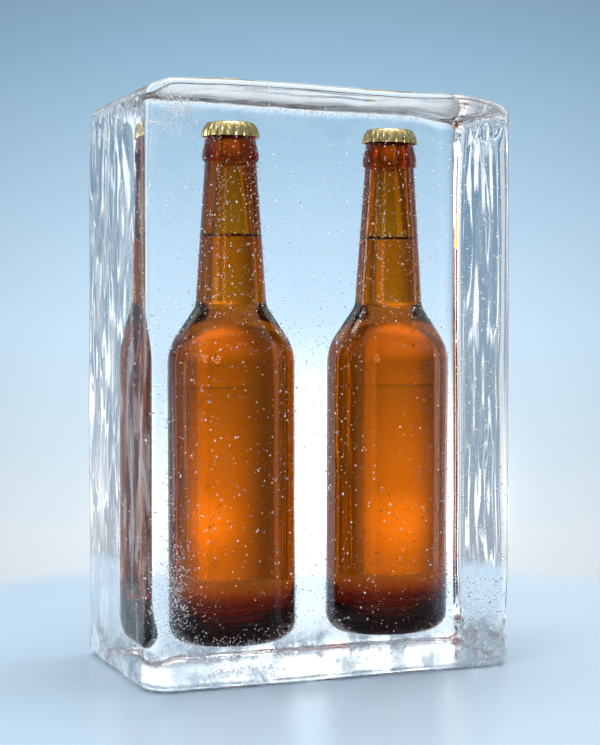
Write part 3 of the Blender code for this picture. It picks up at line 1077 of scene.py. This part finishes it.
def make_backdrop():
    """Pale blue, brightest low down behind the block, under a white ceiling."""
    world = bpy.data.worlds.new("studio")
    bpy.context.scene.world = world
    world.use_nodes = True
    tree = world.node_tree
    coords = add_node(tree, "TexCoord").outputs["Generated"]
    split = add_node(tree, "SeparateXYZ", first=coords)
    ahead = add_node(tree, "VectorMath", "DOT_PRODUCT", first=coords, second=BACKDROP_BEARING)
    lift = add_node(tree, "MapRange", Value=split.outputs["Z"], From_Min=-0.5, From_Max=0.5)
    spread = add_node(tree, "MapRange", Value=ahead.outputs["Value"], From_Min=-1)
    upward = add_ramp(tree, lift.outputs["Result"], BACKDROP_UPWARD)
    greys = [(position, (grey, grey, grey)) for position, grey in BACKDROP_AROUND]
    around = add_ramp(tree, spread.outputs["Result"], greys)
    tone = add_node(tree, "Mix", "RGBA", Factor=1, A=upward, B=around)
    tone.blend_type = "MULTIPLY"
    tree.links.new(tone.outputs["Result"], tree.nodes["Background"].inputs["Color"])


make_backdrop()


def add_softbox(name, width, height, place, target, radiance):
    """A flat soft light. The watts that give a radiance go up with the light's area."""
    lamp = bpy.data.lights.new(name, "AREA")
    lamp.shape = "RECTANGLE"
    lamp.size = width
    lamp.size_y = height
    lamp.energy = radiance * math.pi * width * height
    box = bpy.data.objects.new(name, lamp)
    box.location = place
    box.rotation_euler = (Vector(place) - Vector(target)).to_track_quat("Z", "Y").to_euler()
    bpy.context.scene.collection.objects.link(box)
    return box


def soften(box):
    """Makes a light strongest at its middle and fade out to nothing at its edge."""
    box.data.use_nodes = True
    tree = box.data.node_tree
    place = add_node(tree, "NewGeometry")
    offset = add_node(
        tree, "VectorMath", "DISTANCE", first=place.outputs["Parametric"], second=(0.5, 0.5, 0)
    )
    fade = add_node(
        tree, "MapRange", "SMOOTHERSTEP", Value=offset.outputs["Value"], From_Max=0.5, To_Min=1, To_Max=0
    )
    tree.links.new(fade.outputs["Result"], tree.nodes["Emission"].inputs["Strength"])


CLOUDS_UPWARD = 11
CLOUD_BLUE = (0.02, 0.06, 0.11, 1)
CLOUD_WHITE = (1, 1, 1, 1)


def make_cloudy(box, spread):
    """Makes a light uneven, in soft upright clouds a degree or two wide."""
    box.data.use_nodes = True
    tree = box.data.node_tree
    place = add_node(tree, "NewGeometry")
    stretch = add_node(
        tree, "Mapping", Vector=place.outputs["Parametric"], Scale=(spread, CLOUDS_UPWARD, 1)
    )
    clouds = add_node(tree, "TexNoise", Vector=stretch.outputs["Vector"], Scale=0.62, Detail=3)
    level = add_node(
        tree, "MapRange", "SMOOTHSTEP", Value=clouds.outputs["Fac"], From_Min=0.51, From_Max=0.61
    )
    tint = add_node(tree, "Mix", "RGBA", Factor=level.outputs["Result"], A=CLOUD_BLUE, B=CLOUD_WHITE)
    tree.links.new(tint.outputs["Result"], tree.nodes["Emission"].inputs["Color"])


STRIP_HEIGHT = 1.3
STRIP_MIDDLE = 0.25
# each upright light behind or beside the block: its bearing and its width in degrees, its distance,
# and its radiance
STRIPS = {
    "edge_strip": (35, 8, 1.6, 0.35),
    "far_right_strip": (88, 22, 1.6, 1.6),
    "left_edge_strip": (-14, 6, 1.6, 0.4),
    "left_wide_strip": (-46, 26, 1.75, 0.3),
    "left_softbox": (-88, 56, 1.6, 1.2),
}
SCRIMS = {
    "right_scrim": (57, 14, 1.6, 0.9),
    "left_scrim": (-23.5, 10, 1.6, 0.9),
}

for name, (azimuth, spread, distance, radiance) in (STRIPS | SCRIMS).items():
    turned = math.radians(azimuth)
    place = (distance * math.sin(turned), distance * math.cos(turned), STRIP_MIDDLE)
    width = 2 * distance * math.tan(math.radians(spread / 2))
    box = add_softbox(name, width, STRIP_HEIGHT, place, (0, 0, STRIP_MIDDLE), radiance)
    if name in SCRIMS:
        make_cloudy(box, spread)

# square lights: size, place and radiance
SQUARE_LIGHTS = {
    "ceiling": (0.9, (0.1, 0.1, 1.5), 8),
    "key_light": (0.6, (-1.25, -0.75, 0.6), 12),
}
LIGHT_AIM = (0, 0, 0.15)

for name, (size, place, radiance) in SQUARE_LIGHTS.items():
    add_softbox(name, size, size, place, LIGHT_AIM, radiance)

CAMERA_PLACE = (-0.2858, -0.7446, 0.16775)
CAMERA_TURN = math.radians(-20.89)
CAMERA_DIP = math.radians(1.76)
CAMERA_LENS = 77.46
# glows close behind the block, which face the camera: width, height, middle, how much nearer, radiance
BACKLIGHTS = {
    "back_glow": (0.34, 0.26, 0.055, 0, 1.1),
    "low_glow": (0.28, 0.062, 0.043, 0.01, 1.0),
}
BACKLIGHT_PLACE = (0.109, 0.27)

for name, (width, height, lift, nearer, radiance) in BACKLIGHTS.items():
    place = (BACKLIGHT_PLACE[0], BACKLIGHT_PLACE[1] - nearer, lift)
    glow = add_softbox(name, width, height, place, (*CAMERA_PLACE[:2], lift), radiance)
    glow.visible_camera = True
    soften(glow)

camera = bpy.data.objects.new("camera", bpy.data.cameras.new("camera"))
camera.data.lens = CAMERA_LENS
camera.location = CAMERA_PLACE
camera.rotation_euler = (math.radians(90) - CAMERA_DIP, 0, CAMERA_TURN)
scene = bpy.context.scene
scene.collection.objects.link(camera)
scene.camera = camera
scene.view_settings.view_transform = "Standard"
scene.cycles.glossy_bounces = 16
scene.cycles.transmission_bounces = 24
scene.cycles.max_bounces = 24
scene.cycles.transparent_max_bounces = 32

low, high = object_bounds()
